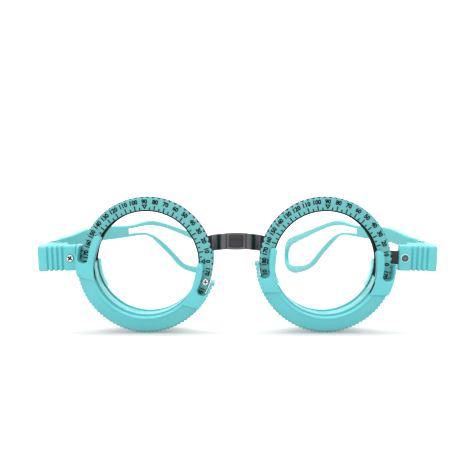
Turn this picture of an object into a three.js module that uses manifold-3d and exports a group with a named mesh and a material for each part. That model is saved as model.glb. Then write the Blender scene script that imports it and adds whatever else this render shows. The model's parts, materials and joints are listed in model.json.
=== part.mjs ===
// Optical trial frame: two graduated dials with turning lens holders in front and fixed lens cells
// behind, joined by a bent bridge strip, with looped temples hinged on ribbed end blocks.
// Millimetres. X runs to the right seen from the front, Y runs back along the temples, Z is up.
// Each eye is drawn about its own ring centre with Y as the ring's axis and +X towards the temple,
// and the left eye is the mirror image. The front face of the dials lies at Y = 0.

import * as THREE from 'three';
import { mergeVertices } from 'three/addons/utils/BufferGeometryUtils.js';
import Module from 'manifold-3d';

const wasm = await Module();
wasm.setup();

const degrees = THREE.MathUtils.degToRad;
const halfTurn = Math.PI;
const fullTurn = 2 * Math.PI;

// Clearance between pieces that turn or seat in each other, and the overrun of every cut
const gap = 0.3;
const overrun = 1;

// Trial lens that the holders and cells take
const lensRadius = 19;
const lensClearance = 0.2;
const lensSlot = 2.1;
const slotFloor = lensRadius + lensClearance;

// Rotor: carrier ring and the holder's collar, both inside the dial's bore
const boreLip = 0.8;
const carrierFlange = 0.6;
const carrierWall = 0.4;
const collarWall = 0.5;
const collarHalfAngle = degrees(75);
const hookThickness = 0.6;
const hookReach = 0.9;
const hookWidth = degrees(11);
const hookAngles = [degrees(215), degrees(270), degrees(325)];
const barrelGapAngle = degrees(1);

// Dial, a little wider than the chassis ring behind it
const dialThickness = 1.2;
const dialOverhang = 0.1;
const scallopCount = 72;
const scallopDepth = 0.35;
const scallopDepthShares = [0, 1];

// Screws of the dial and of the end block
const screwHeadRadius = 1.15;
const screwHeadHeight = 0.7;
const screwShankRadius = 0.6;
const screwRecessWidth = 0.4;
const screwRecessDepth = 0.35;
const screwRecessShare = 0.72;
const screwSetIn = 0.15;
const screwAngles = { inner: degrees(200), outer: degrees(-20) };

// Chassis ring with its inner flange and end tab
const chassisSeat = 1.8;
const chassisWall = 2.7;
const chassisFlange = 1.3;
const tabThickness = 1;
const tabMargin = 2.15;
const tabEnd = 3.5;

// Rear cell
const cellSeat = 1.3;
const cellLip = 0.8;
const cellStep = 0.3;
const cellLipReach = 1.3;
const clawReach = 1;
const cellOuterEnd = degrees(3);
const cellInnerEnd = degrees(5.5);
const clawInnerEnd = degrees(14);
const clawEnd = degrees(30);

// Front holder
const holderWeb = 0.6;
const holderLip = 0.9;
const rimWall = 1;
const rimFrontDepth = 2.4;
const rimBackDepth = 2.5;
const lugHeight = 0.3;
const lugAngle = degrees(3);
const knurlCount = 52;
const knurlDepth = 0.35;
const knurlDepthShares = [0, 1];
const padReach = 1.8;
const padStep = 0.9;
const padDrop = 10.2;
const bandLip = 0.4;
const bandReach = 1;
const bandStep = 0.25;
const armWall = 0.5;
const armAngle = degrees(12);
const windowAngle = degrees(10);
const holderTurns = { left: degrees(17), right: 0 };

// Radii of the rings, from the lens outward
const dialBore = slotFloor - boreLip;
const rotorRadius = dialBore - gap;
const carrierInner = rotorRadius - carrierWall;
const collarInner = rotorRadius - collarWall;
const chassisInner = dialBore + chassisSeat;
const chassisOuter = chassisInner + chassisWall;
const chassisMiddle = (chassisInner + chassisOuter) / 2;
const carrierOuter = chassisInner - gap;
const dialRadius = chassisOuter + dialOverhang;
const screwCircle = chassisMiddle - screwSetIn;
const cellOuter = chassisOuter - cellStep;
const cellLipRadius = slotFloor - cellLipReach;
const clawRadius = cellLipRadius - clawReach;
const padTipRadius = slotFloor - padReach;
const padStepRadius = padTipRadius + padStep;
const bandLipRadius = slotFloor - bandReach;
const armOuter = slotFloor + armWall;
const rimInner = dialRadius + gap;
const rimOuter = rimInner + rimWall;
const rimRoot = rimOuter - knurlDepth;
const lugRadius = rimOuter + lugHeight;

// Depths, from the dial's front face backwards and then forwards
const chassisFront = dialThickness;
const carrierFront = chassisFront + gap;
const carrierBack = carrierFront + carrierFlange;
const hookFront = carrierBack + gap;
const hookBack = hookFront + hookThickness;
const flangeFront = hookBack + gap;
const tabBack = flangeFront + tabThickness;
const chassisBack = flangeFront + chassisFlange;
const seatBack = chassisBack + cellSeat;
const rotorBack = seatBack - gap;
const cellSlotBack = seatBack + lensSlot;
const cellBack = cellSlotBack + cellLip;
const webBack = -gap;
const webFront = webBack - holderWeb;
const holderSlotFront = webFront - lensSlot;
const padFront = holderSlotFront - holderLip;
const bandFront = bandStep - rimFrontDepth;

// The pair: space between the two holders' rims, and how far each eye's outer end hangs down
const noseGap = 13.4;
const droop = degrees(1.5);
const pupilDistance = 2 * rimOuter + noseGap;

// Bridge strip, its plate and its rivets
const stripThickness = 0.9;
const stripHeight = 5.55;
const stripBottom = 2.55;
const stripArch = 2;
const stripLap = 1.7;
const stripForward = 3.15;
const stripBendShares = [[0, 1], [0.282, 0.87], [0.588, 0.5], [0.882, 0.06], [1, 0]];
const bendMargins = { plate: 0.75, chassis: 0.15 };
const plateWidth = 6.5;
const plateHeight = 5.75;
const plateThickness = 0.8;
const plateBulge = 0.15;
const rivetRadius = 0.5;
const rivetHeadRadius = 0.95;
const rivetHeadHeight = 0.5;
const rivetHeightShares = { low: 0.37, high: 0.874 };
const stripHalfLength = pupilDistance / 2 - chassisInner + stripLap;
const bendStart = plateWidth / 2 + bendMargins.plate;
const bendEnd = pupilDistance / 2 - chassisOuter + bendMargins.chassis;

// End block
const blockSkin = 0.75;
const blockLength = 13.5;
const blockDepth = 10.2;
const blockBottom = -2.5;
const blockHeight = 9.1;
const blockFillet = 0.9;
const blockGaps = { left: 0.4, right: 1.4 };
const grooveFirst = 4.65;
const groovePitch = 1.767;
const grooveCount = 4;
const grooveWidth = 1;
const grooveDepth = 0.45;
const blockFastenerPlace = 2.1;
const blockFastenerRadius = 1.2;
const blockFastenerProud = 0.4;
const pinDotRadius = 0.35;
const blockSeats = { left: lugRadius + blockGaps.left, right: lugRadius + blockGaps.right };
const blockFront = flangeFront - gap - blockSkin;
const blockNeckBack = tabBack + gap + blockSkin;
const blockBack = blockFront + blockDepth;
const blockTop = blockBottom + blockHeight;
const tabBottom = blockBottom + tabMargin;
const tabTop = blockTop - tabMargin;
const tabMiddle = (tabBottom + tabTop) / 2;

// Temple hinge
const hingePinRadius = 0.8;
const hingeHeadRadius = 1.3;
const hingeHeadHeight = 0.4;
const barrelRadius = 2.2;
const barrelClearance = 0.5;
const earHeight = 3.1;
const lugBottom = blockBottom + earHeight;
const lugTop = blockTop - earHeight;
const hingePlace = blockLength - barrelRadius;
const hingeDepth = blockBack + barrelRadius + barrelClearance;

// Temple: outline and loop opening as shares of its length and drop, from the front's top round the
// loop to the front's bottom
const templeLength = 128.4;
const templeDrop = 23.6;
const templeThickness = 2.2;
const templeAngles = { left: degrees(24.9), right: degrees(18.4) };
const templeOutlineShares = [
  [0.008, 0.301], [0.075, 0.331], [0.148, 0.39], [0.218, 0.398], [0.3, 0.371], [0.358, 0.343],
  [0.401, 0.339], [0.448, 0.354], [0.495, 0.367], [0.533, 0.356], [0.572, 0.316], [0.654, 0.201],
  [0.74, 0.074], [0.837, -0.072], [0.927, -0.208], [0.974, -0.314], [0.994, -0.432], [1, -0.589],
  [0.999, -0.758], [0.988, -0.894], [0.958, -0.983], [0.911, -1], [0.861, -0.966], [0.81, -0.894],
  [0.754, -0.784], [0.711, -0.657], [0.681, -0.534], [0.646, -0.39], [0.609, -0.254], [0.573, -0.123],
  [0.539, -0.004], [0.51, 0.068], [0.479, 0.106], [0.436, 0.125], [0.374, 0.133], [0.312, 0.14],
  [0.234, 0.157], [0.148, 0.165], [0.093, 0.119], [0.051, -0.021],
];
const loopOpeningShares = [
  [0.372, 0.286], [0.413, 0.284], [0.456, 0.288], [0.498, 0.28], [0.545, 0.252], [0.6, 0.197],
  [0.654, 0.117], [0.732, -0.013], [0.813, -0.161], [0.893, -0.301], [0.95, -0.419], [0.974, -0.508],
  [0.984, -0.619], [0.983, -0.758], [0.971, -0.835], [0.938, -0.864], [0.864, -0.822], [0.79, -0.742],
  [0.748, -0.665], [0.709, -0.538], [0.669, -0.381], [0.632, -0.242], [0.593, -0.106], [0.553, 0.013],
  [0.516, 0.097], [0.475, 0.155], [0.432, 0.176], [0.372, 0.184],
];
const outlineSteps = 72;
const openingSteps = 44;

// Facets: full rings, small round pieces, and the arcs of an outline
const ringSides = 60;
const rodSides = 12;
const filletSteps = 1;
const arcStep = fullTurn / ringSides;

// A rounded end is drawn a little slimmer than the bar or slot that it ends
const roundEndShare = 0.96;

// Places are rounded to the pitch, so that faces meant to meet lie in one plane, and points that a cut
// leaves closer than the weld distance become one
const pointPitch = 1e-5;
const weldDistance = 2e-3;

// A closed geometry as a solid, with shared corners merged and its faces pointing out
function toSolid(geometry) {
  geometry.deleteAttribute('normal');
  geometry.deleteAttribute('uv');
  const merged = mergeVertices(geometry);
  const vertProperties = merged.attributes.position.array.map(
    (place) => Math.round(place / pointPitch) * pointPitch,
  );
  const triVerts = new Uint32Array(merged.index.array);
  if (signedVolume(vertProperties, triVerts) < 0) {
    turnFaces(triVerts);
  }
  return new wasm.Manifold(new wasm.Mesh({ numProp: 3, vertProperties, triVerts }));
}

function signedVolume(places, corners) {
  const [a, b, c] = [new THREE.Vector3(), new THREE.Vector3(), new THREE.Vector3()];
  let volume = 0;
  for (let i = 0; i < corners.length; i += 3) {
    a.fromArray(places, 3 * corners[i]);
    b.fromArray(places, 3 * corners[i + 1]);
    c.fromArray(places, 3 * corners[i + 2]);
    volume += a.dot(b.cross(c)) / 6;
  }
  return volume;
}

function turnFaces(corners) {
  for (let i = 0; i < corners.length; i += 3) {
    [corners[i + 1], corners[i + 2]] = [corners[i + 2], corners[i + 1]];
  }
}

// Triangles whose corners were welded together are dropped
function withoutSlivers(corners) {
  return corners.filter((_, i) => {
    const [a, b, c] = corners.slice(i - (i % 3), i - (i % 3) + 3);
    return a !== b && b !== c && c !== a;
  });
}

// The geometry of a solid; side -1 mirrors it in the plane X = 0
function toGeometry(solid, side = 1) {
  const { vertProperties, triVerts } = solid.getMesh();
  const places = new Float32Array(vertProperties);
  const corners = new Uint32Array(triVerts);
  if (side < 0) {
    for (let i = 0; i < places.length; i += 3) {
      places[i] = -places[i];
    }
    turnFaces(corners);
  }
  const loose = new THREE.BufferGeometry();
  loose.setAttribute('position', new THREE.BufferAttribute(places, 3));
  loose.setIndex(new THREE.BufferAttribute(corners, 1));
  const geometry = mergeVertices(loose, weldDistance);
  geometry.setIndex(withoutSlivers([...geometry.index.array]));
  geometry.computeVertexNormals();
  return geometry;
}

const joined = (solids) => solids.reduce((all, solid) => all.add(solid));
const cutBy = (solid, tools) => tools.reduce((rest, tool) => rest.subtract(tool), solid);

// A box between two values on each axis
function box([left, right], [front, back], [bottom, top]) {
  const geometry = new THREE.BoxGeometry(right - left, back - front, top - bottom);
  geometry.translate((left + right) / 2, (front + back) / 2, (bottom + top) / 2);
  return toSolid(geometry);
}

// A full ring about Y whose section is a closed outline of [radius, y] corners
function ring(section) {
  const outline = section.map(([radius, y]) => new THREE.Vector2(radius, y));
  outline.push(outline[0].clone());
  return toSolid(new THREE.LatheGeometry(outline, ringSides));
}

function band(inner, outer, front, back) {
  return ring([[inner, front], [outer, front], [outer, back], [inner, back]]);
}

// A round rod along Y, centred on x and z
function rodY(radius, front, back, x = 0, z = 0, sides = rodSides) {
  const geometry = new THREE.CylinderGeometry(radius, radius, back - front, sides);
  geometry.translate(x, (front + back) / 2, z);
  return toSolid(geometry);
}

// A round rod along Z, centred on x and y
function rodZ(radius, bottom, top, x = 0, y = 0) {
  const geometry = new THREE.CylinderGeometry(radius, radius, top - bottom, rodSides);
  const middle = (bottom + top) / 2;
  geometry.applyMatrix4(new THREE.Matrix4().set(1, 0, 0, x, 0, 0, -1, y, 0, 1, 0, middle, 0, 0, 0, 1));
  return toSolid(geometry);
}

// A slab of an outline in X and Z, from front to back along Y
function slabY(points, front, back) {
  const shape = new THREE.Shape(points.map(([x, z]) => new THREE.Vector2(x, z)));
  const geometry = new THREE.ExtrudeGeometry(shape, { depth: back - front, bevelEnabled: false });
  geometry.applyMatrix4(new THREE.Matrix4().set(1, 0, 0, 0, 0, 0, -1, back, 0, 1, 0, 0, 0, 0, 0, 1));
  return toSolid(geometry);
}

// A bar of an outline in Y and Z, from left to right along X
function barX(shape, left, right) {
  const geometry = new THREE.ExtrudeGeometry(shape, { depth: right - left, bevelEnabled: false });
  geometry.applyMatrix4(new THREE.Matrix4().set(0, 0, 1, left, 1, 0, 0, 0, 0, 1, 0, 0, 0, 0, 0, 1));
  return toSolid(geometry);
}

const polar = (radius, angle) => [radius * Math.cos(angle), radius * Math.sin(angle)];

// Points of an arc, on the same facets as a full ring's; the radius may change with the share of the way
function arc(radius, from, to) {
  const radiusAt = typeof radius === 'function' ? radius : () => radius;
  const angles = [from, to];
  for (let step = Math.ceil(Math.min(from, to) / arcStep); step * arcStep < Math.max(from, to); step += 1) {
    if (Math.abs(step * arcStep - from) > arcStep / 50 && Math.abs(step * arcStep - to) > arcStep / 50) {
      angles.push(step * arcStep);
    }
  }
  angles.sort((a, b) => (a - b) * Math.sign(to - from));
  return angles.map((angle) => polar(radiusAt((angle - from) / (to - from)), angle));
}

// A slab between two arcs, front to back
function sector(inner, outer, from, to, front, back) {
  return slabY([...arc(outer, from, to), ...arc(inner, from, to).reverse()], front, back);
}

// Teeth as radii repeated along an arc: each tooth takes its shares of the depth in turn
function toothed(outer, depth, shares, count, from, to) {
  const pitch = (to - from) / count;
  return Array.from({ length: count * shares.length }, (_, i) => {
    const tooth = Math.floor(i / shares.length);
    const step = i % shares.length;
    return polar(outer - depth * shares[step], from + pitch * (tooth + step / shares.length));
  });
}

// A cross recess in a screw head whose front is at y
function crossRecess(radius, y, x, z) {
  const reach = screwRecessShare * radius;
  const half = screwRecessWidth / 2;
  const depth = [y - overrun, y + screwRecessDepth];
  return box([x - reach, x + reach], depth, [z - half, z + half])
    .add(box([x - half, x + half], depth, [z - reach, z + reach]));
}

// A screw along Y with its head's front at y and its shank's end at tip
function screw(headRadius, y, tip, x, z) {
  const headBack = y + screwHeadHeight;
  return rodY(headRadius, y, headBack, x, z)
    .add(rodY(screwShankRadius, headBack - screwHeadHeight / 2, tip, x, z))
    .subtract(crossRecess(headRadius, y, x, z));
}

const screwBore = (front, back, x, z) => rodY(screwShankRadius + gap, front, back, x, z);
const screwPlaces = Object.fromEntries(
  Object.entries(screwAngles).map(([name, angle]) => [name, polar(screwCircle, angle)]),
);
const rivetPlaces = Object.fromEntries(Object.entries(rivetHeightShares).map(([name, share]) => {
  const rise = Math.asin((stripBottom + share * stripHeight) / chassisMiddle);
  return [name, polar(chassisMiddle, halfTurn - rise + droop)];
}));

function dial() {
  const edge = toothed(dialRadius, scallopDepth, scallopDepthShares, scallopCount, 0, fullTurn);
  const disc = slabY(edge, 0, dialThickness);
  const tools = [rodY(dialBore, -overrun, dialThickness + overrun, 0, 0, ringSides)];
  for (const [x, z] of Object.values(screwPlaces)) {
    tools.push(rodY(screwHeadRadius + gap, -overrun, screwHeadHeight, x, z));
    tools.push(screwBore(0, dialThickness + overrun, x, z));
  }
  return cutBy(disc, tools);
}

function chassis(seat) {
  const wall = band(chassisInner, chassisOuter, chassisFront, chassisBack);
  const flange = band(dialBore, chassisMiddle, flangeFront, chassisBack);
  const tabReach = seat + blockLength - tabEnd;
  const tab = box([chassisMiddle, tabReach], [flangeFront, tabBack], [tabBottom, tabTop]);
  const cut = [chassisFront - overrun, chassisBack + overrun];
  const tools = Object.values(screwPlaces).map(([x, z]) => screwBore(...cut, x, z));
  for (const [x, z] of Object.values(rivetPlaces)) {
    tools.push(rodY(rivetRadius + gap, ...cut, x, z));
  }
  tools.push(screwBore(...cut, seat + blockFastenerPlace, tabMiddle));
  return cutBy(joined([wall, flange, tab]), tools);
}

function rearCell() {
  const section = [
    [dialBore, chassisBack], [cellOuter, chassisBack], [cellOuter, cellBack], [cellLipRadius, cellBack],
    [cellLipRadius, cellSlotBack], [slotFloor, cellSlotBack], [slotFloor, seatBack], [dialBore, seatBack],
  ];
  const keep = sector(0.5 * clawRadius, cellOuter + overrun, -halfTurn - cellInnerEnd, cellOuterEnd,
    chassisBack - overrun, cellBack + overrun);
  const claws = [[-clawEnd, cellOuterEnd], [-halfTurn - clawInnerEnd, clawEnd - halfTurn]].map(
    ([from, to]) => sector(clawRadius, (slotFloor + cellOuter) / 2, from, to, cellSlotBack, cellBack),
  );
  const bores = Object.values(screwPlaces).map(
    ([x, z]) => screwBore(chassisBack - overrun, seatBack, x, z),
  );
  return cutBy(joined([ring(section).intersect(keep), ...claws]), bores);
}

function carrierRing() {
  const flange = band(dialBore, carrierOuter, carrierFront, carrierBack);
  const from = -halfTurn / 2 + collarHalfAngle + barrelGapAngle;
  const to = halfTurn - from;
  const barrel = sector(carrierInner, rotorRadius, from, to, 0, rotorBack);
  const neck = sector((carrierInner + rotorRadius) / 2, (dialBore + carrierOuter) / 2,
    from + barrelGapAngle, to - barrelGapAngle, carrierFront, carrierBack);
  return joined([flange, barrel, neck]);
}

function holderPads() {
  const swell = (share) => padTipRadius + (padStepRadius - padTipRadius) * share;
  const stepAngle = Math.asin(padDrop / rimRoot);
  const pads = [-1, 1].map((side) => {
    const from = side > 0 ? 0 : -halfTurn;
    return sector(swell, rimRoot, from, from - side * stepAngle * 1.2, padFront, webBack);
  });
  const above = box([-rimOuter, rimOuter], [padFront - overrun, 0], [-padDrop, overrun]);
  return joined(pads).intersect(above);
}

function holderArms() {
  const middle = (padTipRadius + armOuter) / 2;
  const half = (armOuter - padTipRadius) / 2;
  return [0, halfTurn].map((end) => {
    const tip = end === 0 ? armAngle : halfTurn - armAngle;
    const [x, z] = polar(middle, tip);
    return sector(padTipRadius, armOuter, end, tip, padFront, webBack)
      .add(rodY(roundEndShare * half, padFront, webBack, x, z));
  });
}

function holderRim() {
  const outline = [
    ...arc(lugRadius, -halfTurn, -halfTurn + lugAngle),
    ...toothed(rimOuter, knurlDepth, knurlDepthShares, knurlCount, -halfTurn + lugAngle, -lugAngle),
    ...arc(lugRadius, -lugAngle, 0),
    ...arc(rimInner, -halfTurn, 0).reverse(),
  ];
  return slabY(outline, -rimFrontDepth, rimBackDepth);
}

function holderWindows() {
  const middle = (armOuter + rimInner) / 2;
  const half = (rimInner - armOuter) / 2;
  const depth = [padFront - overrun, webBack + overrun];
  return [-1, 1].map((side) => {
    const end = side > 0 ? -windowAngle : -halfTurn + windowAngle;
    const [x, z] = polar(middle, end);
    return sector(armOuter, rimInner, end, end + side * windowAngle * 2, ...depth)
      .add(rodY(roundEndShare * half, ...depth, x, z));
  });
}

function frontHolder() {
  const section = [
    [bandLipRadius, holderSlotFront - bandLip], [(rimInner + rimRoot) / 2, bandFront],
    [(rimInner + rimRoot) / 2, webBack],
    [collarInner, webBack], [collarInner, webFront], [bandLipRadius, webFront],
  ];
  const below = box([-rimOuter, rimOuter], [padFront - overrun, 0], [-rimOuter, 0]);
  const slot = rodY(slotFloor, holderSlotFront, webFront, 0, 0, ringSides);
  const moulding = cutBy(
    joined([ring(section).intersect(below), holderPads(), ...holderArms()]),
    [slot, ...holderWindows()],
  );
  const collar = sector(collarInner, rotorRadius, -halfTurn / 2 - collarHalfAngle,
    -halfTurn / 2 + collarHalfAngle, webFront, rotorBack);
  const hooks = hookAngles.map((angle) => sector((collarInner + rotorRadius) / 2,
    rotorRadius + hookReach, angle - hookWidth / 2, angle + hookWidth / 2, hookFront, hookBack));
  return joined([moulding, holderRim(), collar, ...hooks]);
}

// A rectangle in Y and Z with rounded corners
function roundedRectangle([front, back], [bottom, top], radius) {
  const shape = new THREE.Shape();
  shape.absarc(back - radius, top - radius, radius, 0, halfTurn / 2);
  shape.absarc(front + radius, top - radius, radius, halfTurn / 2, halfTurn);
  shape.absarc(front + radius, bottom + radius, radius, halfTurn, 1.5 * halfTurn);
  shape.absarc(back - radius, bottom + radius, radius, 1.5 * halfTurn, fullTurn);
  return new THREE.Shape(shape.getPoints(filletSteps));
}

function endBlock(seat) {
  const high = [blockBottom, blockTop];
  const neckEnd = seat + grooveFirst;
  const bars = [
    barX(roundedRectangle([blockFront, blockNeckBack], high, blockFillet), seat, neckEnd),
    barX(roundedRectangle([blockFront + grooveDepth, blockBack - grooveDepth],
      [blockBottom + grooveDepth, blockTop - grooveDepth], blockFillet), neckEnd, seat + blockLength),
  ];
  for (let i = 0; i < grooveCount; i += 1) {
    const ribStart = neckEnd + i * groovePitch + grooveWidth / 2;
    const last = i === grooveCount - 1;
    const ribEnd = last ? seat + blockLength : ribStart + groovePitch - grooveWidth;
    bars.push(barX(roundedRectangle([blockFront, blockBack], high, blockFillet), ribStart, ribEnd));
  }
  const pinX = seat + hingePlace;
  const lug = [
    rodZ(barrelRadius, lugBottom, lugTop, pinX, hingeDepth),
    box([pinX - barrelRadius, pinX + barrelRadius], [blockBack - barrelRadius, hingeDepth],
      [lugBottom, lugTop]),
  ];
  const fastener = [seat + blockFastenerPlace, tabMiddle];
  const headBack = blockFront - blockFastenerProud + screwHeadHeight;
  const tools = [
    box([seat - overrun, seat + blockLength - tabEnd + gap], [flangeFront - gap, tabBack + gap],
      [tabBottom - gap, tabTop + gap]),
    rodY(blockFastenerRadius + gap, blockFront - overrun, headBack, ...fastener),
    screwBore(blockFront, tabBack + 2 * gap, ...fastener),
    rodZ(hingePinRadius + gap, lugBottom - overrun, lugTop + overrun, pinX, hingeDepth),
    box([neckEnd - grooveWidth / 2, neckEnd], [blockFront - overrun, blockFront + grooveDepth],
      [blockBottom - overrun, blockTop + overrun]),
  ];
  return cutBy(joined([...bars, ...lug]), tools);
}

// The round pin of the right block, flat with a small centre mark
function blockPin(seat) {
  const [x, z] = [seat + blockFastenerPlace, tabMiddle];
  const front = blockFront - blockFastenerProud;
  return rodY(blockFastenerRadius, front, front + screwHeadHeight, x, z)
    .add(rodY(screwShankRadius, front + screwHeadHeight / 2, tabBack + gap, x, z))
    .subtract(rodY(pinDotRadius, front - overrun, front + screwRecessDepth, x, z));
}

function hingePin(seat) {
  const [x, y] = [seat + hingePlace, hingeDepth];
  const [low, high] = [blockBottom - gap, blockTop + gap];
  return joined([
    rodZ(hingePinRadius, low, high, x, y),
    rodZ(hingeHeadRadius, high, high + hingeHeadHeight, x, y),
    rodZ(hingeHeadRadius, low - hingeHeadHeight, low, x, y),
  ]);
}

// Evenly spaced points of a smooth line through places given along and up
function smoothLine(places, steps) {
  const corners = places.map(([along, up]) => new THREE.Vector3(along, up, 0));
  const line = new THREE.CatmullRomCurve3(corners, false, 'centripetal');
  return line.getSpacedPoints(steps).map((point) => new THREE.Vector2(point.x, point.y));
}

// The temple in its own frame: the hinge axis at the origin, the blade running back along Y
function temple() {
  const sized = ([along, up]) => [along * templeLength, up * templeDrop];
  const edge = [[0, blockTop], ...templeOutlineShares.map(sized), [0, blockBottom]];
  const shape = new THREE.Shape(smoothLine(edge, outlineSteps).reverse());
  shape.holes.push(new THREE.Path(smoothLine(loopOpeningShares.map(sized), openingSteps)));
  const half = templeThickness / 2;
  const blade = barX(shape, -half, half);
  const barrel = rodZ(barrelRadius, blockBottom, blockTop);
  const slot = rodZ(barrelRadius + gap, lugBottom - gap, lugTop + gap);
  const bore = rodZ(hingePinRadius + gap, blockBottom - overrun, blockTop + overrun);
  return cutBy(blade.add(barrel), [slot, bore]);
}

// The bridge strip runs along X: its plan is a centre line bent forward, its height arches in the middle
function stripCentreLine() {
  const lap = chassisBack + stripThickness / 2;
  const bend = stripBendShares.map(([along, forward]) => [
    bendStart + along * (bendEnd - bendStart), lap - forward * stripForward,
  ]);
  const right = [...bend, [stripHalfLength, lap]].reverse();
  const left = right.map(([x, y]) => [-x, y]).reverse();
  return [...right, ...left];
}

function stripArchAt(x) {
  return stripArch * (1 - Math.min(1, (x / stripHalfLength) ** 2));
}

function eyeToFront(side, [x, z]) {
  const place = new THREE.Vector3(side * x, 0, z).applyAxisAngle(new THREE.Vector3(0, 1, 0), side * droop);
  return [place.x + side * pupilDistance / 2, place.z];
}

function bridgeStrip() {
  const line = stripCentreLine().map(([x, y]) => new THREE.Vector2(x, y));
  const across = line.slice(1).map((point, i) => {
    const along = point.clone().sub(line[i]).normalize();
    return new THREE.Vector2(-along.y, along.x);
  });
  const offset = (sign) => line.map((point, i) => {
    const [before, after] = [across[Math.max(0, i - 1)], across[Math.min(across.length - 1, i)]];
    const mitre = sign * stripThickness / 2 / (1 + before.dot(after));
    return before.clone().add(after).multiplyScalar(mitre).add(point);
  });
  const plan = new THREE.Shape([...offset(1), ...offset(-1).reverse()]);
  const geometry = new THREE.ExtrudeGeometry(plan, { depth: stripHeight, bevelEnabled: false });
  const places = geometry.attributes.position;
  for (let i = 0; i < places.count; i += 1) {
    places.setZ(i, places.getZ(i) + stripBottom + stripArchAt(places.getX(i)));
  }
  const bores = [-1, 1].flatMap((side) => Object.values(rivetPlaces).map((place) => {
    const [x, z] = eyeToFront(side, place);
    return rodY(rivetRadius + gap, chassisBack - overrun, chassisBack + stripThickness + overrun, x, z);
  }));
  return cutBy(toSolid(geometry), bores);
}

function bridgePlate() {
  const middle = stripBottom + stripHeight / 2 + stripArch;
  const [halfWide, halfHigh] = [plateWidth / 2, plateHeight / 2 - plateBulge];
  const bulged = (sign) => [-1, -0.5, 0, 0.5, 1].map(
    (share) => [-sign * share * halfWide, middle + sign * (halfHigh + plateBulge * (1 - share ** 2))],
  );
  const back = chassisBack - stripForward;
  return slabY([...bulged(1), ...bulged(-1)], back - plateThickness, back);
}

function rivet([x, z]) {
  const back = chassisBack + stripThickness;
  return rodY(rivetRadius, chassisFront + gap, back + rivetHeadHeight / 2, x, z)
    .add(rodY(rivetHeadRadius, back, back + rivetHeadHeight, x, z));
}

// Finishes
const finish = (color, roughness, metalness) => (
  new THREE.MeshStandardMaterial({ color, roughness, metalness })
);
const tealPlastic = finish(0x70cbcf, 0.35, 0);
const dialPlastic = finish(0x7dd4d4, 0.4, 0);
const templePlastic = finish(0x96e6e6, 0.35, 0);
const blackMetal = finish(0x2c2c2e, 0.35, 0.8);
const bridgeMetal = finish(0x55545a, 0.3, 0.8);
const chrome = finish(0xc8c8cc, 0.2, 1);
const greyPin = finish(0x5c5c60, 0.4, 0.8);

function piece(name, solid, material, side = 1) {
  const mesh = new THREE.Mesh(toGeometry(solid, side), material);
  mesh.name = name;
  return mesh;
}

function eye(name, side) {
  const seat = blockSeats[name];
  const group = new THREE.Group();
  group.position.x = side * pupilDistance / 2;
  group.rotation.y = side * droop;

  const rotor = new THREE.Group();
  rotor.rotation.y = holderTurns[name];
  rotor.add(piece(`front_holder_${name}`, frontHolder(), tealPlastic));
  rotor.add(piece(`carrier_ring_${name}`, carrierRing(), blackMetal));

  group.add(rotor);
  group.add(piece(`dial_${name}`, dial(), dialPlastic));
  group.add(piece(`chassis_${name}`, chassis(seat), blackMetal, side));
  group.add(piece(`rear_cell_${name}`, rearCell(), tealPlastic, side));
  for (const [place, [x, z]] of Object.entries(screwPlaces)) {
    const solid = screw(screwHeadRadius, 0, seatBack - gap, x, z);
    group.add(piece(`dial_screw_${name}_${place}`, solid, chrome, side));
  }
  for (const [place, corner] of Object.entries(rivetPlaces)) {
    group.add(piece(`bridge_rivet_${name}_${place}`, rivet(corner), blackMetal, side));
  }
  group.add(piece(`end_block_${name}`, endBlock(seat), tealPlastic, side));
  group.add(piece(`hinge_pin_${name}`, hingePin(seat), chrome, side));

  const blade = piece(`temple_${name}`, temple(), templePlastic, side);
  blade.position.set(side * (seat + hingePlace), hingeDepth, 0);
  blade.rotation.z = side * templeAngles[name];
  group.add(blade);
  return group;
}

function blockScrew(seat) {
  const [x, z] = [seat + blockFastenerPlace, tabMiddle];
  return screw(blockFastenerRadius, blockFront - blockFastenerProud, tabBack + gap, x, z);
}

const leftEye = eye('left', -1);
leftEye.add(piece('block_screw_left', blockScrew(blockSeats.left), chrome, -1));
const rightEye = eye('right', 1);
rightEye.add(piece('block_pin_right', blockPin(blockSeats.right), greyPin));

const frame = new THREE.Group();
frame.add(leftEye, rightEye);
frame.add(piece('bridge_strip', bridgeStrip(), bridgeMetal));
frame.add(piece('bridge_plate', bridgePlate(), bridgeMetal));

// The origin lies under the middle of the frame, on the surface that it stands on
const bounds = new THREE.Box3().setFromObject(frame, true);
const middle = bounds.getCenter(new THREE.Vector3());
frame.position.set(-middle.x, -middle.y, -bounds.min.z);

export default frame;
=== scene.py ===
"""Optical trial frame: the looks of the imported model. Metres, +Z up, Y back along the temples."""

import json
from math import asin, atan2, cos, degrees, pi, radians, sin

import bmesh
import bpy
import numpy as np
from mathutils import Matrix, Vector, geometry


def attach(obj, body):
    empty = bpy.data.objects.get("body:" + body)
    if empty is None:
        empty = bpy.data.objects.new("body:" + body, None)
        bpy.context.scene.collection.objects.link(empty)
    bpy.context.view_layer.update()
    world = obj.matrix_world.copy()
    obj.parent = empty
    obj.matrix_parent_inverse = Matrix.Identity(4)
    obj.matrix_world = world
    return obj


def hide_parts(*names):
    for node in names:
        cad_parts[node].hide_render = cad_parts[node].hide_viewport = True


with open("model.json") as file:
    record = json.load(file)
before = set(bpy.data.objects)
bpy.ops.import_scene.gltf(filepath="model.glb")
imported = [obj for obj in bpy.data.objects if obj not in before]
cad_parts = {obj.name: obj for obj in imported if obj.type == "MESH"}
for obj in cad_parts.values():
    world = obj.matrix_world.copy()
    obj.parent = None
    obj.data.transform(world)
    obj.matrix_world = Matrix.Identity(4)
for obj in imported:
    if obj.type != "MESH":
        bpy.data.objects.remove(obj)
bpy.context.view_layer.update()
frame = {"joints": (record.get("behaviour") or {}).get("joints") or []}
scene = bpy.context.scene
joints = {joint["name"]: joint for joint in frame["joints"]}

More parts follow.
